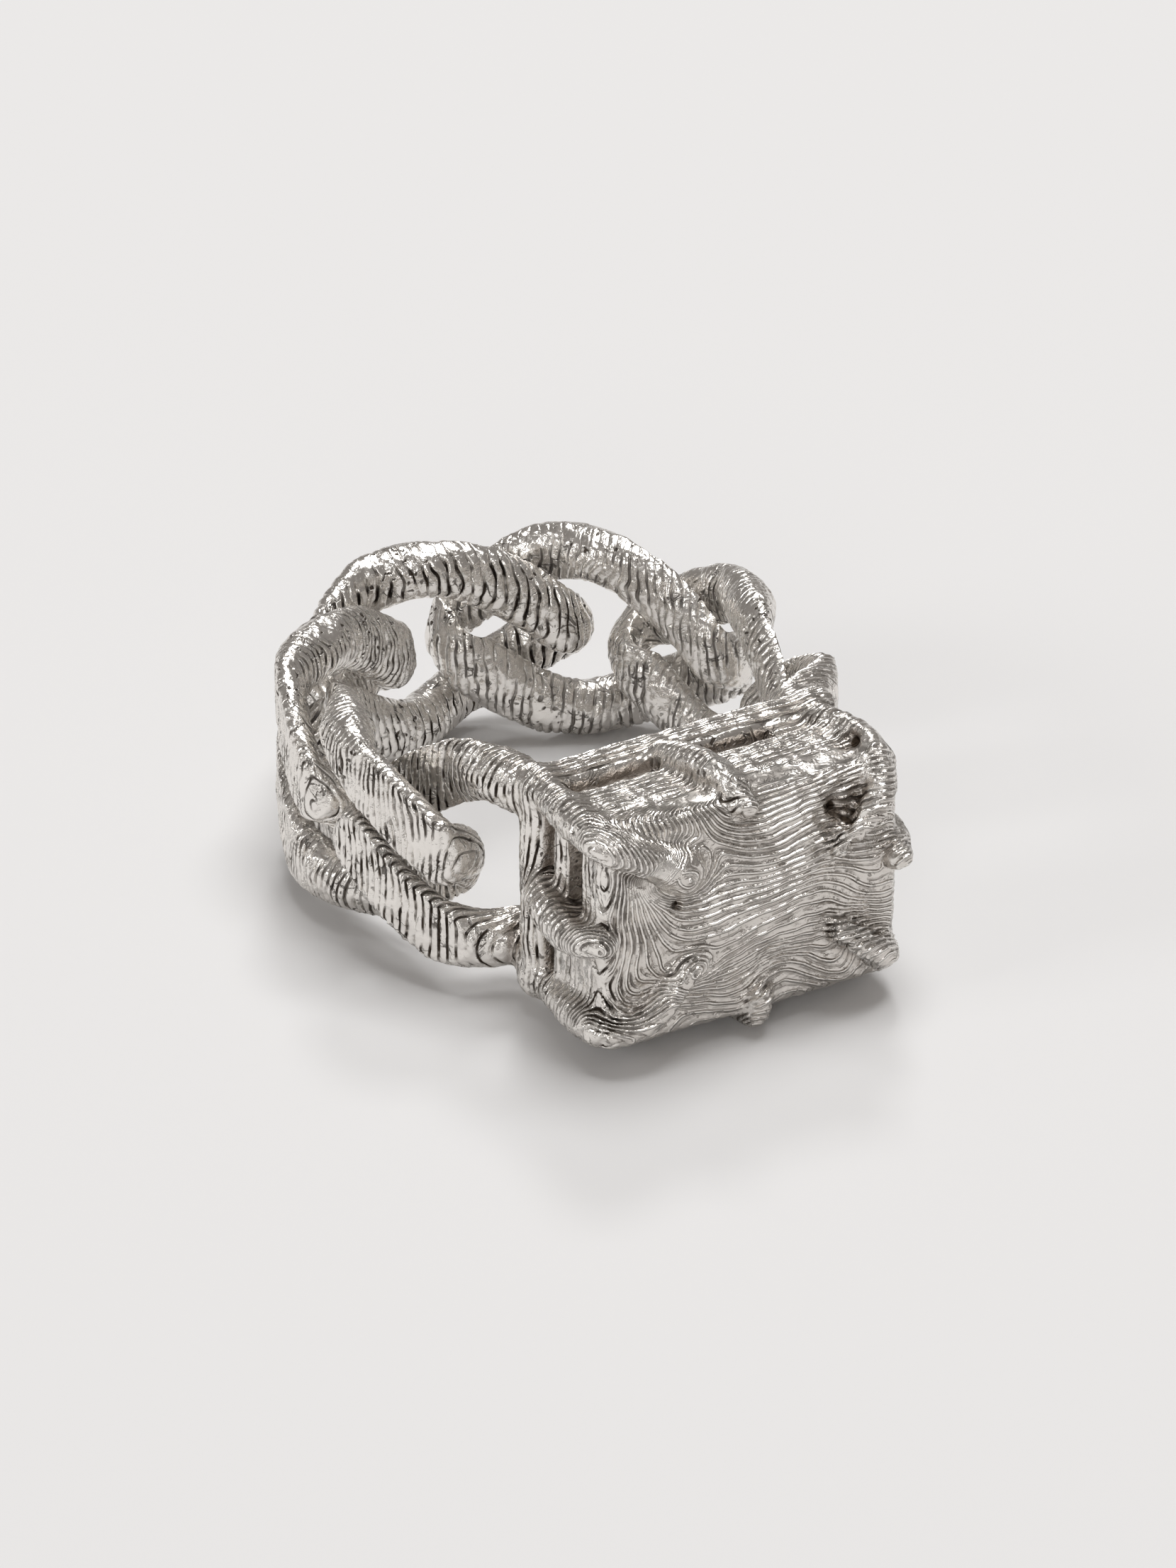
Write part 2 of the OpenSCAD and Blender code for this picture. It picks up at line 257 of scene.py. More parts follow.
def makeLink(name, row, material, lift):
    # a wire swept along linkCurve, pressed into the band, then cut by its own layers
    n, m = linkGrid["along"], linkGrid["around"]
    u = evenTurns(row, n)
    line, swing = linkCurve(row, u)
    level, over = upright(unit(np.roll(line, -1, 0) - np.roll(line, 1, 0)))
    width, roomOver, roomUnder = (v - linkGrid["inset"] for v in linkRooms(row, u, swing))
    turn = np.linspace(0, 2 * np.pi, m, endpoint=False)[None]
    sideways = width[:, None] * np.cos(turn)
    upward = np.sin(turn) * np.where(np.sin(turn) < 0, roomUnder[:, None], roomOver[:, None])
    skin = line[:, None] + sideways[..., None] * level[:, None] + upward[..., None] * over[:, None]
    skin = inBand(skin, linkGrid["edge"])
    # softened along the wire, each ring toward the mean of its neighbours
    for _ in range(linkGrid["softenings"]):
        skin = (np.roll(skin, 1, 0) + 2 * skin + np.roll(skin, -1, 0)) / 4
    angle = math.radians(row["angle"] - 90)
    skin = skin + row["push"] * ring["wireD"] * np.array([math.cos(angle), math.sin(angle), 0])
    normal = gridNormals(skin)
    if (normal * (skin - line[:, None])).sum() < 0:
        normal = -normal
    p, normal = skin.reshape(-1, 3), normal.reshape(-1, 3)
    seed = int(name[-1]) * 20
    # the layers lie across the link; phase counts them, and spacing is how far apart they meet the skin
    pitch, strength = linkLines[name]
    across = np.array([-math.sin(angle), math.cos(angle), 0])
    phase = (p @ across + waveSum(p, linkGrid["wander"], seed)) / pitch
    slope = np.sqrt(np.clip(1 - (normal @ across) ** 2, 0, 1))
    spacing = pitch / np.maximum(slope, linkGrid["leastSlope"])
    kept = polished(normal, layers["linksWorn"]) * strength
    into = layerRelief(p, phase, spacing, seed + 2, kept, layers["leastOnLinks"])
    p = p - normal * into[:, None]
    marks = {"layer": phase, "spacing": spacing, "kept": kept,
             "shade": np.ones(len(p)), "ribs": np.zeros(len(p))}
    makePiece(name, p, gridFaces(n, m), marks, name, material, lift)


# Head: block, claws, back frame and end loops, melted together in the casting
head = {
    "w": 14.8, "h": 11.1, "reach": 16.6,  # reach is from the ring's middle to the face
    "blockT": 4.5, "edgeR": 0.9,
    "crown": 0.7, "bulge": 0.9,  # how far the face bulges, and the share of it that does
    "right": 0.6, "low": 0.5,  # how much further the block reaches on its right and at its foot
    "railD": 2.1, "clawD": 1.9,
    "slotT": 0.9, "slotW": 1.0, "slotIn": 2.8,  # recess in each side: depth, width, distance behind the face
    "slotUp": 0.18, "slotH": 0.3,  # its middle's height and its length, as shares of h
    "clawMelt": 0.4, "railMelt": 0.5, "loopMelt": 0.45,  # how wide each melts into what it meets
    "cell": 0.133,  # of the net that the surface is drawn from
    "inset": 0.03,  # under the solid's skin
}
# the frame behind the block, with two braces and a web; x and z are shares of half of w and h
backFrame = {
    "railX": 0.95, "railZ": 0.86,
    "braceX": 0.93, "braceZ": 0.84,
    "braceD": 0.68,  # of clawD
    "braceIn": 0.23,  # of its own thickness, from the block's back to its middle
    "webX": 0.72, "webZ": 0.82, "webW": 0.19,  # webW is of w
    "webT": 1.2, "webBack": 0.3,  # how thick it is, and how far it stands off the middle of the gap
}
# where an end loop's strands leave the links' form and run into the frame
loopEnds = {
    "turn": 96.0,  # degrees round the loop, either way from its tip
    "x": 0.47, "z": 0.42,  # where they end, as shares of w and h
    "thin": 0.6,  # of the wire, at that end
}
headSkin = {
    "pitch": 0.35,  # of its layers, which are flat in Y
    "wander": [(0.2, 5, 9), (0.05, 1.6, 12)],  # how many layers they stray by, over what length, and a seed
    "rough": 0.11,  # height of the rough lumps
    "leftMore": 1.3,  # times the relief, on the left
    "clawWorn": 0.4,  # share of the relief that is rubbed off the claws
    "room": (0.35, 0.6, 0.9),  # heights over the skin that tell how deep in a corner it lies
    "topRibs": 0.7,  # share of the face's raised ribs that shows on the top
}
faceSkin = {
    "pitch": 0.4,  # of the lines on the face, counted up the face
    "from": 1.9, "full": 0.2,  # how far behind the face they begin, and where they are there in full
    "turnDown": 1.7,  # weight of the distance to the left edge, beside which they turn down
    "wander": [(0.5, 4.5, 7)],  # how far they stray, over what length, and a seed
    "oval": 1.25,  # how much wider than high its rings are
    "kept": 0.7, "shown": 0.4,  # shares of the relief and of the dark in its lines that are left
}
railY = innerR + head["railD"] / 2
# x, z and size of the rings of lines on the face
faceRings = [(-3.7, 2.65, 1.35), (-3.2, -2.2, 1.1)]
# x, y, z, size and depth of single pits: on the face, under the top right claw, and at the right of the top
holes = [(-3.87, -17.1, 1.02, 0.19, 0.4), (4.3, -17.1, 3.6, 0.35, 0.4), (6.1, -14.9, 5.8, 0.4, 0.6)]
# x, y, z and size of rough lumps, where claws ran together in the casting
roughSpots = [(5.2, -17, 3.1, 1.7), (4.4, -17, 2, 1), (5.2, -17, -3.2, 1.6), (-0.4, -16.6, 4.9, 1.1),
              (6.3, -13, 5.4, 1.2), (-7.2, -16.8, -4.6, 1.4)]
# one row per point: share of w / 2, share of the way from frame to face, share of h / 2, share of clawD
claws = {
    "topLeft": [(-0.94, -0.04, 0.86, 0.8), (-0.99, 0.45, 0.88, 1), (-0.98, 0.92, 0.86, 1),
                (-0.78, 1.05, 0.72, 0.95), (-0.49, 1, 0.48, 1.25)],
    "topRight": [(0.86, -0.02, 0.86, 0.8), (0.92, 0.48, 0.95, 0.89), (0.9, 0.87, 0.94, 0.95),
                 (0.84, 1.1, 0.68, 0.84), (0.58, 1.07, 0.34, 0.68)],
    "lowLeft": [(-0.94, -0.04, -0.86, 0.8), (-0.99, 0.51, -0.85, 1), (-0.97, 0.92, -0.83, 1),
                (-0.73, 1.05, -0.76, 0.84), (-0.41, 1.05, -0.36, 0.79)],
    "lowRight": [(0.94, -0.03, -0.86, 0.8), (0.99, 0.51, -0.85, 0.95), (0.97, 0.92, -0.85, 0.95),
                 (0.84, 1.07, -0.72, 0.84), (0.58, 1.08, -0.43, 0.74)],
    "top": [(-0.19, 0.02, 0.87, 0.85), (-0.16, 0.41, 1.04, 0.89), (-0.11, 0.77, 1.07, 0.89),
            (-0.05, 1.02, 0.92, 0.79)],
    "low": [(0.05, 0.02, -0.87, 0.85), (0.06, 0.5, -1, 0.89), (0.04, 0.93, -1.05, 0.89),
            (0.06, 1.04, -0.87, 0.75)],
    "left": [(-0.95, -0.02, 0.13, 0.85), (-1.07, 0.28, 0.02, 0.95), (-1.08, 0.67, -0.07, 0.95),
             (-1, 0.98, -0.02, 0.79)],
    "right": [(0.95, -0.01, 0.04, 0.85), (1.07, 0.28, 0.07, 0.89), (1.11, 0.74, 0.09, 0.89),
              (1.01, 1.05, 0.07, 0.79)],
}


def spline(rows, n):
    # a smooth curve through every row, n steps to each span
    q = np.array(rows, float)
    q = np.concatenate([[2 * q[0] - q[1]], q, [2 * q[-1] - q[-2]]])
    t = np.arange(n)[:, None] / n
    spans = [(2 * b + (c - a) * t + (2 * a - 5 * b + 4 * c - d) * t**2 + (3 * b - a - 3 * c + d) * t**3) / 2
             for a, b, c, d in zip(q[:-3], q[1:-2], q[2:-1], q[3:])]
    return np.concatenate(spans + [q[-2:-1]])


def clawPath(rows):
    # points and radii of a claw, in millimetres
    q = spline(rows, 6)
    reach = head["reach"] - railY
    at = np.stack([q[:, 0] * head["w"] / 2, -railY - q[:, 1] * reach, q[:, 2] * head["h"] / 2], -1)
    return at, q[:, 3] * head["clawD"] / 2


def lowestPoint():
    # how far the lowest claw or link reaches below the ring's middle, once the ring leans
    a = math.radians(ring["lean"])
    depths = [(at[:, 2] * math.cos(a) - at[:, 1] * math.sin(a) - r).min()
              for at, r in map(clawPath, claws.values())]
    u = np.radians(np.arange(180, 361, 10))
    for row in links.values():
        p = linkCurve(row, u)[0]
        depths.append((p[:, 2] * math.cos(a) - p[:, 1] * math.sin(a)).min() - wireR * row["wire"])
    return min(depths)


class Field:
    # distance to the metal's surface at the points of a grid, negative inside, true near the surface alone
    def __init__(self, low, high, cell):
        self.low, self.cell = np.array(low, float), cell
        self.size = np.ceil((np.array(high) - low) / cell).astype(int) + 1
        self.value = np.full(self.size, 1.5, np.float32)

    def near(self, low, high):
        # the part of the grid between two corners, and its three axes for broadcasting
        start = np.clip(np.floor((low - self.low) / self.cell).astype(int), 0, self.size)
        end = np.clip(np.ceil((high - self.low) / self.cell).astype(int) + 1, 0, self.size)
        cut = tuple(slice(s, e) for s, e in zip(start, end))
        axes = [np.arange(s, e) * self.cell + l for s, e, l in zip(start, end, self.low)]
        x, y, z = axes[0][:, None, None], axes[1][None, :, None], axes[2][None, None, :]
        return cut, x, y, z

    def join(self, cut, distance, melt):
        # union with a fillet about melt wide
        old = self.value[cut]
        h = np.maximum(melt - np.abs(old - distance), 0) / melt
        self.value[cut] = np.minimum(old, distance) - h * h * melt / 4

    def remove(self, cut, distance, melt):
        # cuts a shape away, with an edge rounded by about melt
        old = self.value[cut]
        h = np.maximum(melt - np.abs(old + distance), 0) / melt
        self.value[cut] = np.maximum(old, -distance) + h * h * melt / 4

    def wire(self, at, r, melt):
        # a wire through the points, as cones from each to the next
        reach = np.max(r) + 1.6
        cut, x, y, z = self.near(at.min(0) - reach, at.max(0) + reach)
        best = np.full(self.value[cut].shape, 9.0, np.float32)
        for a, b, ra, rb in zip(at[:-1], at[1:], r[:-1], r[1:]):
            ab = b - a
            px, py, pz = x - a[0], y - a[1], z - a[2]
            t = np.clip((px * ab[0] + py * ab[1] + pz * ab[2]) / max(ab @ ab, 1e-9), 0, 1)
            d = np.sqrt((px - t * ab[0])**2 + (py - t * ab[1])**2 + (pz - t * ab[2])**2) - ra - (rb - ra) * t
            np.minimum(best, d, out=best)
        self.join(cut, best, melt)

    def strand(self, at, width, roomOver, roomUnder, melt, press):
        # a wire whose section is wide along the upright, with its own room over and under; d is the distance
        # to an ellipse's edge, (e - 1) * e / |gradient of e| with e the share of the way to that edge
        best = np.full(self.size, 9.0, np.float32)
        for i in range(len(at) - 1):
            a, b = at[i], at[i + 1]
            cut, x, y, z = self.near(np.minimum(a, b) - 3, np.maximum(a, b) + 3)
            along = unit(b - a)
            level, over = upright(along)
            px, py, pz = x - a[0], y - a[1], z - a[2]
            run = px * along[0] + py * along[1] + pz * along[2]
            t = np.clip(run / np.linalg.norm(b - a), 0, 1)
            past = run - t * np.linalg.norm(b - a)
            wide = px * level[0] + py * level[1] + pz * level[2]
            high = px * over[0] + py * over[1] + pz * over[2]
            w = width[i] + (width[i + 1] - width[i]) * t
            room = np.where(high > 0, roomOver[i] + (roomOver[i + 1] - roomOver[i]) * t,
                            roomUnder[i] + (roomUnder[i + 1] - roomUnder[i]) * t)
            e = np.sqrt((wide / w)**2 + (high / room)**2 + (past / w)**2)
            slope = np.sqrt((wide / w**2)**2 + (high / room**2)**2 + (past / w**2)**2)
            best[cut] = np.minimum(best[cut], (e - 1) * e / np.maximum(slope, 0.05))
        cut, x, y, z = self.near(at.min(0) - 4, at.max(0) + 4)
        self.join(cut, press(best[cut], x, y), melt)

    def box(self, middle, half, edge):
        # distance to a box with rounded edges
        middle, half = np.array(middle, float), np.array(half, float)
        cut, x, y, z = self.near(middle - half - 1.6, middle + half + 1.6)
        q = [np.abs(v - c) - h + edge for v, c, h in zip((x, y, z), middle, half)]
        out = np.sqrt(sum(np.maximum(v, 0)**2 for v in q))
        return cut, out + np.minimum(np.maximum(np.maximum(q[0], q[1]), q[2]), 0) - edge

    def look(self, p):
        # the field at any points: the eight grid points round each, weighted by how near they are
        g = np.clip((p - self.low) / self.cell, 0, self.size - 1.001)
        i = g.astype(int)
        f = g - i
        total = 0
        for corner in np.ndindex(2, 2, 2):
            weight = np.prod([f[:, k] if corner[k] else 1 - f[:, k] for k in range(3)], axis=0)
            total = total + weight * self.value[i[:, 0] + corner[0], i[:, 1] + corner[1], i[:, 2] + corner[2]]
        return total

    def slopes(self, p):
        # outward normals at points near the surface: the field's change over a cell each way
        e = self.cell
        d = [self.look(p + e * axis) - self.look(p - e * axis) for axis in np.eye(3)]
        return unit(np.stack(d, -1))

    def net(self):
        # one vertex in each cell that the surface passes, at the mean of its crossings of the cell's edges,
        # and one quad round each grid edge that it crosses
        v = self.value
        inside = v < 0
        corners = [inside[a:a - 1 or None, b:b - 1 or None, c:c - 1 or None]
                   for a, b, c in np.ndindex(2, 2, 2)]
        count = sum(c.astype(np.int8) for c in corners)
        cells = np.argwhere((count > 0) & (count < 8))
        number = np.full(count.shape, -1)
        number[tuple(cells.T)] = np.arange(len(cells))
        total, crossed = np.zeros((len(cells), 3)), np.zeros((len(cells), 1))
        for axis in range(3):
            for near in np.ndindex(2, 2):
                start = np.insert(near, axis, 0)
                end = np.insert(near, axis, 1)
                a, b = v[tuple((cells + start).T)], v[tuple((cells + end).T)]
                hit = ((a < 0) != (b < 0))[:, None]
                t = (a / np.where(a == b, 1, a - b))[:, None]
                total += np.where(hit, start + (end - start) * t, 0)
                crossed += hit
        points = self.low + (cells + total / crossed) * self.cell
        faces = []
        for axis in range(3):
            one, two = (axis + 1) % 3, (axis + 2) % 3
            low, high = [slice(1, -1)] * 3, [slice(1, -1)] * 3
            low[axis], high[axis] = slice(0, -1), slice(1, None)
            flips = inside[tuple(low)] != inside[tuple(high)]
            edge = np.argwhere(flips)
            opens = inside[tuple(low)][flips]
            edge[:, one] += 1
            edge[:, two] += 1
            quad = []
            for a, b in ((0, 0), (1, 0), (1, 1), (0, 1)):
                cell = edge.copy()
                cell[:, one] -= 1 - a
                cell[:, two] -= 1 - b
                quad.append(number[tuple(cell.T)])
            quad = np.stack(quad, -1)
            faces.append(np.where(opens[:, None], quad, quad[:, ::-1]))
        return points, np.concatenate(faces)


def blockField(field):
    # the block and its bulging face
    half = [(head["w"] + head["right"]) / 2, head["blockT"] / 2, (head["h"] + head["low"]) / 2]
    cut, d = field.box([head["right"] / 2, -head["reach"] + half[1], -head["low"] / 2], half, head["edgeR"])
    field.join(cut, d, 0.01)
    middle = np.array([head["right"] / 2, -head["reach"] + head["edgeR"], -head["low"] / 2])
    size = np.array([(half[0] - head["edgeR"]) * head["bulge"], head["edgeR"] + head["crown"],
                     (half[2] - head["edgeR"]) * head["bulge"]])
    cut, *axes = field.near(middle - size - 1.5, middle + size + 1.5)
    far = np.sqrt(sum(((v - c) / r)**2 for v, c, r in zip(axes, middle, size)))
    field.join(cut, (far - 1) * size[1], 0.8)


def frameField(field):
    # the back frame's four bars, the two braces beside the block, and the web at the right of the top
    bars = backFrame
    w, h = head["w"] / 2, head["h"] / 2
    corners = [(-1, 1), (1, 1), (1, -1), (-1, -1), (-1, 1)]
    at = np.array([(x * bars["railX"] * w, -railY, z * bars["railZ"] * h) for x, z in corners])
    for a, b in zip(at[:-1], at[1:]):
        field.wire(np.array([a, b]), np.full(2, head["railD"] / 2), head["railMelt"])
    braceD = head["clawD"] * bars["braceD"]
    braceY = -head["reach"] + head["blockT"] - braceD * bars["braceIn"]
    for side in (-1, 1):
        x, z = side * bars["braceX"] * w, bars["braceZ"] * h
        field.wire(np.array([(x, braceY, z), (x, braceY, -z)]), np.full(2, braceD / 2), 0.15)
    webY = -(railY + head["reach"] - head["blockT"]) / 2 - bars["webBack"]
    cut, d = field.box([bars["webX"] * w, webY, bars["webZ"] * h],
                       [bars["webW"] * w, head["railD"] / 2, bars["webT"] / 2], 0.2)
    field.join(cut, d, 0.3)


def endLoopField(field, row, side):
    # an end loop's two strands, from the eye's tip into the frame's corners
    reach = math.radians(loopEnds["turn"])
    u = (math.pi if side < 0 else 0) + np.linspace(-reach, reach, 61)
    strand, swing = linkCurve(row, u)
    rooms = linkRooms(row, u, swing)
    top = np.array([side * head["w"] * loopEnds["x"], -railY, head["h"] * loopEnds["z"]])
    low = top * [1, 1, -1]
    ends = (top, low) if strand[0, 2] > 0 else (low, top)
    at = np.concatenate([[ends[0]], strand, [ends[1]]])
    angle = math.radians(row["angle"] - 90)
    push = row["push"] * ring["wireD"] * np.array([math.cos(angle), math.sin(angle), 0])
    thin = loopEnds["thin"] * wireR * row["wire"]
    width, roomOver, roomUnder = (np.concatenate([[thin], v, [thin]]) for v in rooms)

    def press(d, x, y):
        # flattened at the finger hole and at the band's outside
        far = np.sqrt((x - push[0])**2 + (y - push[1])**2)
        return np.maximum(d, np.maximum(far - outerR, innerR - far))

    field.strand(at + push, width, roomOver, roomUnder, head["loopMelt"], press)


def headPhase(p):
    # counts the layers, y / pitch. On the face, the softened lesser of the distances to its left edge and
    # its foot is counted too, so that lines run along it and turn down beside that edge. Round two claws'
    # ends the distance to them stands in its place, which draws rings
    skin = faceSkin
    onFace = smoothStep(head["reach"] - skin["from"], head["reach"] - skin["full"], -p[:, 1])
    fromLeft = (p[:, 0] + head["w"] / 2) * skin["turnDown"]
    fromLow = p[:, 2] + head["h"] / 2
    along = -np.logaddexp(-fromLeft, -fromLow) + waveSum(p, skin["wander"])
    for x, z, size in faceRings:
        far = np.sqrt(((p[:, 0] - x) / skin["oval"])**2 + (p[:, 2] - z)**2)
        near = np.exp(-(far / size)**4)
        along = along * (1 - near) + (far + z + head["h"] / 2) * near
    return p[:, 1] / headSkin["pitch"] + onFace * along / skin["pitch"] + waveSum(p, headSkin["wander"])


def proud(p):
    # how far a point stands out of the block's sides and its bulging face: the claws do
    x, z = np.abs(p[:, 0] - head["right"] / 2), np.abs(p[:, 2] + head["low"] / 2)
    halfW, halfH = (head["w"] + head["right"]) / 2, (head["h"] + head["low"]) / 2
    crown = head["crown"] * np.clip(1 - ((x / halfW)**2 + (z / halfH)**2) / head["bulge"]**2, 0, 1)
    out = np.maximum(np.maximum(x - halfW, z - halfH), -p[:, 1] - head["reach"] - crown)
    return out * smoothStep(head["reach"] - head["blockT"] - 1.5, head["reach"] - head["blockT"], -p[:, 1])


def headField():
    # everything that is cast in one with the head; the surface is where the field is zero
    reachX, reachZ = outerR + 0.4, 7.2
    field = Field([-reachX, -head["reach"] - 1.7, -reachZ], [reachX, 1.6, reachZ], head["cell"])
    blockField(field)
    for side in (-1, 1):
        faceX = side * head["w"] / 2 + (head["right"] if side > 0 else 0)
        cut, d = field.box([faceX, -head["reach"] + head["slotIn"], head["h"] * head["slotUp"]],
                           [head["slotT"], head["slotW"] / 2, head["h"] * head["slotH"] / 2], 0.2)
        field.remove(cut, d, 0.2)
    frameField(field)
    for side, row in zip((-1, 1), loops.values()):
        endLoopField(field, row, side)
    for rows in claws.values():
        at, r = clawPath(rows)
        field.wire(at, r, head["clawMelt"])
    field.value += head["inset"]
    return field


def phaseSpacing(p, normal):
    # how far apart whole phases lie on the head's skin: 1 / the phase's slope along it, which is taken from a
    # small step each way
    step = 0.02
    run = [headPhase(p + step * axis) - headPhase(p - step * axis) for axis in np.eye(3)]
    run = np.stack(run, -1) / (2 * step)
    run -= (run * normal).sum(-1, keepdims=True) * normal
    return 1 / np.maximum(np.linalg.norm(run, axis=-1), 0.25)


def makeHead(material, lift):
    # the net over the field, cut by its layers, its rough spots and its single pits
    field = headField()
    p, faces = field.net()
    for _ in range(2):
        p -= field.slopes(p) * field.look(p)[:, None]
    normal = field.slopes(p)
    # shade is 1 in the open and 0 in a corner: the mean share of free room at some heights over the skin
    room = headSkin["room"]
    shade = sum(np.clip(field.look(p + normal * far) / far, 0, 1) for far in room) / len(room)
    phase = headPhase(p)
    spacing = phaseSpacing(p, normal)
    front = smoothStep(0.6, 0.9, -normal[:, 1])
    front *= smoothStep(head["reach"] - 2, head["reach"] - 0.5, -p[:, 1])
    rough = sum(np.exp(-((p - spot[:3])**2).sum(-1) / spot[3]**2) for spot in np.array(roughSpots))
    kept = polished(normal, layers["headWorn"]) * (1 - (1 - faceSkin["kept"]) * front) + 0.5 * rough
    kept *= 1 + (headSkin["leftMore"] - 1) * smoothStep(4.5, 7, -p[:, 0])
    kept *= 1 - headSkin["clawWorn"] * smoothStep(0.15, 0.75, proud(p))
    into = layerRelief(p, phase, spacing, 11, kept, layers["leastOnHead"])
    into += headSkin["rough"] * rough * np.clip(waves(p, 0.8, 31) + 0.6, 0, 2)
    for x, y, z, size, depth in holes:
        # depth * exp(-(how far off / size)^2), with the distance along the normal counted little
        off = p - [x, y, z]
        far2 = (off**2).sum(-1) - 0.9 * (off * normal).sum(-1)**2
        near = np.exp(-far2 / size**2)
        into += depth * near
        # shade goes below 0 in a pit, where the material paints its darkest shade
        shade = shade * (1 - near) - near
    p = p - normal * into[:, None]
    ribs = np.maximum(front, headSkin["topRibs"] * smoothStep(0.6, 0.9, normal[:, 2]))
    kept *= 1 - (1 - faceSkin["shown"]) * front * smoothStep(-6.6, -4.6, p[:, 0])
    marks = {"layer": phase, "spacing": spacing, "kept": kept, "shade": shade, "ribs": ribs}
    makePiece("claw_head", p, faces, marks, "head", material, lift)


# Silver: a bright casting with dark pits and cracks, and painted shade in its grooves, single pits and
# corners
silver = {
    "colour": (0.87, 0.84, 0.8, 1),
    "shadeBrown": (0.32, 0.27, 0.23, 1),  # painted shade in deep corners and between the raised ribs
    # painted shade in the grooves and the single pits, and the colour of the small dark pits and cracks
    "darkShadeAndGrime": (0.07, 0.052, 0.038, 1),
    "lineWidth": 0.082,  # half the width of the dark line in a groove, in millimetres
    "ribWidth": 0.11,  # half the width of the thin raised ribs
    "betweenRibShade": 0.28,  # painted shade: how far the skin between two such ribs is darkened
    "roughness": 0.19,
    "bump": 0.00011,  # metres that a height of 1 stands for in the fine relief
    "pitScale": 1970.0,  # cells in a metre
    "pitShake": 0.0007,  # metres that the cells are pushed about, so that no pit is round
}
# scale in a metre, detail and distortion of each noise: breaks in the lines, the pits' shake and patches,
# cracks, grain and lumps
noises = {
    "broken": (900.0, 3.0, 0.0), "shake": (2200.0, 2.0, 0.0), "where": (260.0, 2.0, 0.0),
    "wander": (730.0, 3.0, 1.2), "grain": (6500.0, 3.0, 0.0), "lumps": (2300.0, 3.0, 0.0),
}


class Sock:
    # a socket that takes part in sums, each of which adds a Math node
    def __init__(self, tree, socket):
        self.tree, self.socket = tree, socket

    def math(self, kind, other=0.0, flip=False):
        a, b = (other, self) if flip else (self, other)
        return self.tree.add("ShaderNodeMath", {"operation": kind}, {0: a, 1: b})[0]

    def __add__(self, other):
        return self.math("ADD", other)

    def __sub__(self, other):
        return self.math("SUBTRACT", other)

    def __mul__(self, other):
        return self.math("MULTIPLY", other)

    def __rsub__(self, other):
        return self.math("SUBTRACT", other, True)

    def __abs__(self):
        return self.math("ABSOLUTE")

    __radd__, __rmul__ = __add__, __mul__


class Nodes:
    # a material's node tree; add takes a node's type, its settings and its sockets' values or links
    def __init__(self, material):
        material.use_nodes = True
        self.tree = material.node_tree
        self.tree.nodes.clear()

    def add(self, kind, settings=None, inputs=None):
        node = self.tree.nodes.new(kind)
        for key, value in (settings or {}).items():
            setattr(node, key, value)
        for key, value in (inputs or {}).items():
            if isinstance(value, Sock):
                self.tree.links.new(value.socket, node.inputs[key])
            else:
                node.inputs[key].default_value = value
        return [Sock(self, out) for out in node.outputs if out.enabled]

    def between(self, value, low, high):
        # 0 below low and 1 above high, smooth between
        return self.add("ShaderNodeMapRange", {"interpolation_type": "SMOOTHSTEP"},
                        {"Value": value, "From Min": low, "From Max": high})[0]

    def mix(self, factor, a, b):
        # colour a at factor 0, b at 1
        return self.add("ShaderNodeMix", {"data_type": "RGBA"}, {0: factor, 6: a, 7: b})[-1]

    def most(self, first, *others):
        # the greatest of several values
        for other in others:
            first = first.math("MAXIMUM", other)
        return first

    def mark(self, name):
        # a number that the mesh keeps at its vertices
        return self.add("ShaderNodeAttribute", {"attribute_name": name})[2]

    def noise(self, place, name, out=0):
        # one of the noises; its output 0 is a number, 1 a colour
        scale, detail, distortion = noises[name]
        return self.add("ShaderNodeTexNoise", {}, {"Vector": place, "Scale": scale, "Detail": detail,
                                                   "Distortion": distortion})[out]
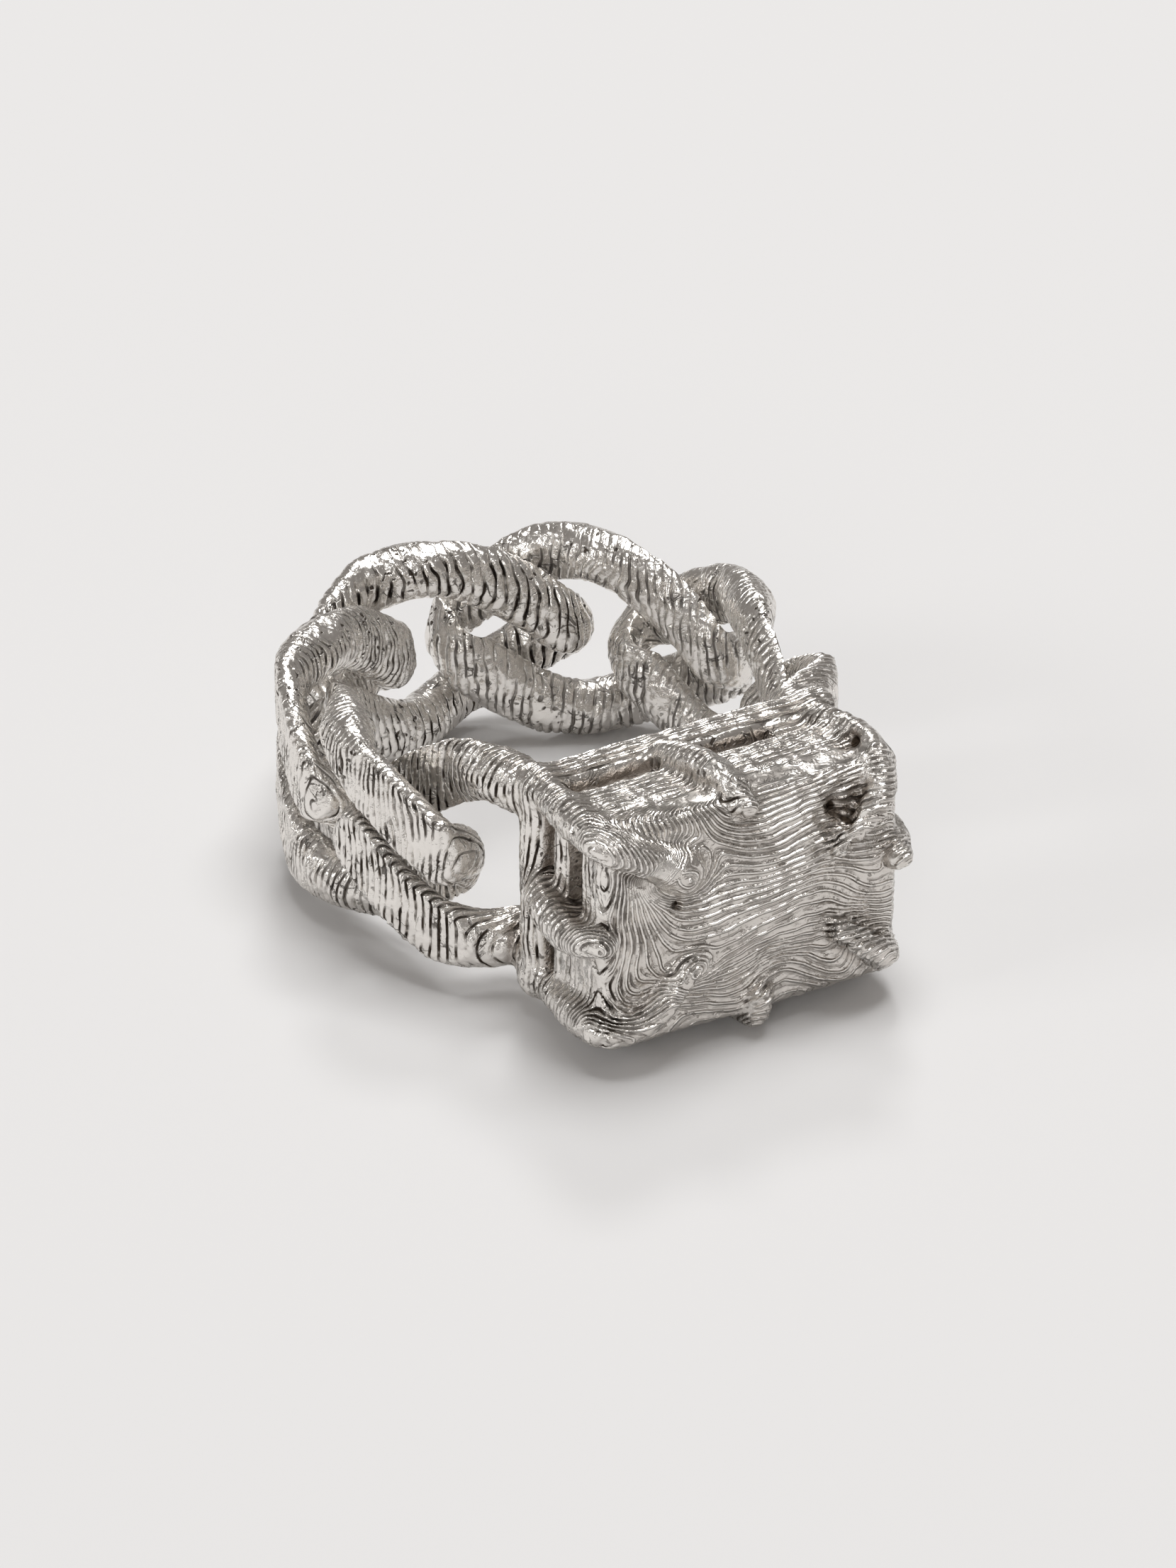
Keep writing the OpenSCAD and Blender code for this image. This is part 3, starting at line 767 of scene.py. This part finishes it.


# bright silver; dark pits and cracks; painted shade in grooves, single pits, corners and between ribs
def silverMaterial():
    # bright silver, with grime in the layer grooves, in pits and in cracks, and brown in deep corners
    made = bpy.data.materials.new("silver")
    n = Nodes(made)
    layer, spacing, kept = n.mark("layer"), n.mark("spacing"), n.mark("kept")
    shade, ribs = n.mark("shade"), n.mark("ribs")
    place = n.add("ShaderNodeTexCoord")[3]
    # dark broken lines in the grooves, painted shade; far is the distance to the nearest one, in millimetres
    far = abs(layer - layer.math("ROUND")) * spacing
    broken = n.noise(place, "broken")
    line = (1 - n.between(far, 0.01, silver["lineWidth"])) * n.between(broken, 0.38, 0.6) * n.most(kept, 0.25)
    # thin raised ribs half way between two grooves, on the head's face and top
    rib = (1 - n.between(spacing * 0.5 - far, 0.02, silver["ribWidth"])) * ribs
    # painted shade on the skin between the raised ribs
    betweenRibShade = (ribs - rib) * silver["betweenRibShade"]
    # small black pits in patches
    push = n.add("ShaderNodeVectorMath", {"operation": "SCALE"},
                 {0: n.noise(place, "shake", 1), 3: silver["pitShake"]})[0]
    shaken = n.add("ShaderNodeVectorMath", {"operation": "ADD"}, {0: place, 1: push})[0]
    cells = n.add("ShaderNodeTexVoronoi", {}, {"Vector": shaken, "Scale": silver["pitScale"]})[0]
    where = n.between(n.noise(place, "where"), 0.44, 0.6)
    pits = (1 - n.between(cells, 0.14, 0.26)) * where * (1 - ribs * 0.6)
    # fine cracks, where a noise passes its middle
    offMiddle = abs(n.noise(place, "wander") - 0.5)
    cracks = (1 - n.between(offMiddle, 0.004, 0.022)) * n.between(broken, 0.52, 0.64) * (1 - ribs * 0.8)
    grain, lumps = n.noise(place, "grain"), n.noise(place, "lumps")
    # painted shade in corners, where shade tells that there is little free room over the skin
    cornerShade = 1 - n.between(shade, 0.3, 0.95)
    holeShade = 1 - n.between(shade, -0.4, -0.1)  # painted shade inside the single pits, where shade is below 0
    # painted shade in the grooves and the single pits, together with the dark small pits and cracks
    grimeAndShade = n.most(line * 0.95, pits * 0.95, cracks * 0.8, holeShade)
    shadedSilver = n.mix(n.most(cornerShade * 0.65, betweenRibShade), silver["colour"], silver["shadeBrown"])
    height = grain * 0.25 + lumps * 0.6 + rib * 0.8 - line * 0.9 - pits * 1.2 - cracks
    bump = n.add("ShaderNodeBump", {}, {"Strength": 1.0, "Distance": silver["bump"], "Height": height})[0]
    shader = n.add("ShaderNodeBsdfPrincipled", {}, {
        "Base Color": n.mix(grimeAndShade, shadedSilver, silver["darkShadeAndGrime"]), "Metallic": 1.0,
        "Roughness": silver["roughness"] + grimeAndShade * 0.35 + lumps * 0.1, "Normal": bump})[0]
    n.add("ShaderNodeOutputMaterial", {}, {"Surface": shader})
    return made


# Floor, lights and camera
stage = {
    "floor": (0.81, 0.805, 0.805, 1),
    "floorRough": 0.8,
    "floorReach": 1.2,  # metres from the ring to the floor's edge
    "room": 0.23, "roomColour": (1, 0.94, 0.89, 1),  # light from all round
    "top": dict(at=(0.14, 0.1, 1.1), size=0.6, power=7.7),
    "key": dict(at=(0.45, 0.75, 0.95), size=0.22, power=2.6),
    "left": dict(at=(-1.1, 0.1, 0.5), size=0.3, power=1.8),
    "front": dict(at=(-0.75, -1.0, 0.6), size=0.5, power=2.2),
}
camera = {
    "azimuth": -30.2, "elevation": 28.9,  # degrees, seen from the ring's middle
    "distance": 381.0,  # millimetres
    "aim": (0.0, 0.0, -0.3),
    "focal": 11830.0,  # in pixels of the photograph's frame
    "frame": (1659, 2212),
    "centre": (790, 1058),  # the pixel that the camera's axis passes
}


def makeFloor():
    # one big pale sheet on z = 0
    mesh = bpy.data.meshes.new("floor")
    s = stage["floorReach"]
    mesh.from_pydata([(-s, -s, 0), (s, -s, 0), (s, s, 0), (-s, s, 0)], [], [(0, 1, 2, 3)])
    made = bpy.data.materials.new("paper")
    n = Nodes(made)
    shader = n.add("ShaderNodeBsdfPrincipled", {}, {
        "Base Color": stage["floor"], "Roughness": stage["floorRough"]})[0]
    n.add("ShaderNodeOutputMaterial", {}, {"Surface": shader})
    mesh.materials.append(made)
    floor = bpy.data.objects.new("floor", mesh)
    bpy.context.scene.collection.objects.link(floor)


def makeLights():
    # soft square lamps that face the ring, in a grey room
    world = bpy.data.worlds.new("room")
    bpy.context.scene.world = world
    world.use_nodes = True
    world.node_tree.nodes["Background"].inputs["Color"].default_value = stage["roomColour"]
    world.node_tree.nodes["Background"].inputs["Strength"].default_value = stage["room"]
    for name in ("top", "key", "left", "front"):
        lamp = stage[name]
        data = bpy.data.lights.new(name, "AREA")
        data.size, data.energy = lamp["size"], lamp["power"]
        light = bpy.data.objects.new(name, data)
        at = np.array(lamp["at"])
        light.location = at
        light.rotation_euler = facing(-at)
        bpy.context.scene.collection.objects.link(light)


def facing(way):
    # Euler angles that turn an object's -Z to that way, its Y kept up
    return Vector(way).to_track_quat("-Z", "Y").to_euler()


def makeCamera(lift):
    # stands where the photograph was taken from, turned with the ring's lean
    az, el = math.radians(camera["azimuth"]), math.radians(camera["elevation"])
    back = np.array([math.sin(az) * math.cos(el), -math.cos(az) * math.cos(el), math.sin(el)])
    right = unit(np.cross(-back, [0, 0, 1]))
    up = np.cross(right, -back)
    at = layDown(np.array(camera["aim"]) + back * camera["distance"], lift)
    turned = [layDown(v, 0) for v in (right, up, back)]
    data = bpy.data.cameras.new("camera")
    wide, high = camera["frame"]
    data.sensor_fit = "AUTO"
    data.lens = data.sensor_width * camera["focal"] / high
    data.shift_x = (wide / 2 - camera["centre"][0]) / high
    data.shift_y = (camera["centre"][1] - high / 2) / high
    data.clip_start, data.clip_end = 0.01, 10
    eye = bpy.data.objects.new("camera", data)
    spin = Matrix([[turned[k][i] for k in range(3)] for i in range(3)]).to_4x4()
    eye.matrix_world = Matrix.Translation((at / 1000).tolist()) @ spin
    bpy.context.scene.collection.objects.link(eye)
    bpy.context.scene.camera = eye


lift = -lowestPoint()
print("ring's middle stands at", round(lift, 3), "mm")
metal = silverMaterial()
for name, row in links.items():
    makeLink(name, row, metal, lift)
makeHead(metal, lift)
makeFloor()
makeLights()
makeCamera(lift)
bpy.context.scene.view_settings.view_transform = "Standard"
print("floor, lights and camera set")
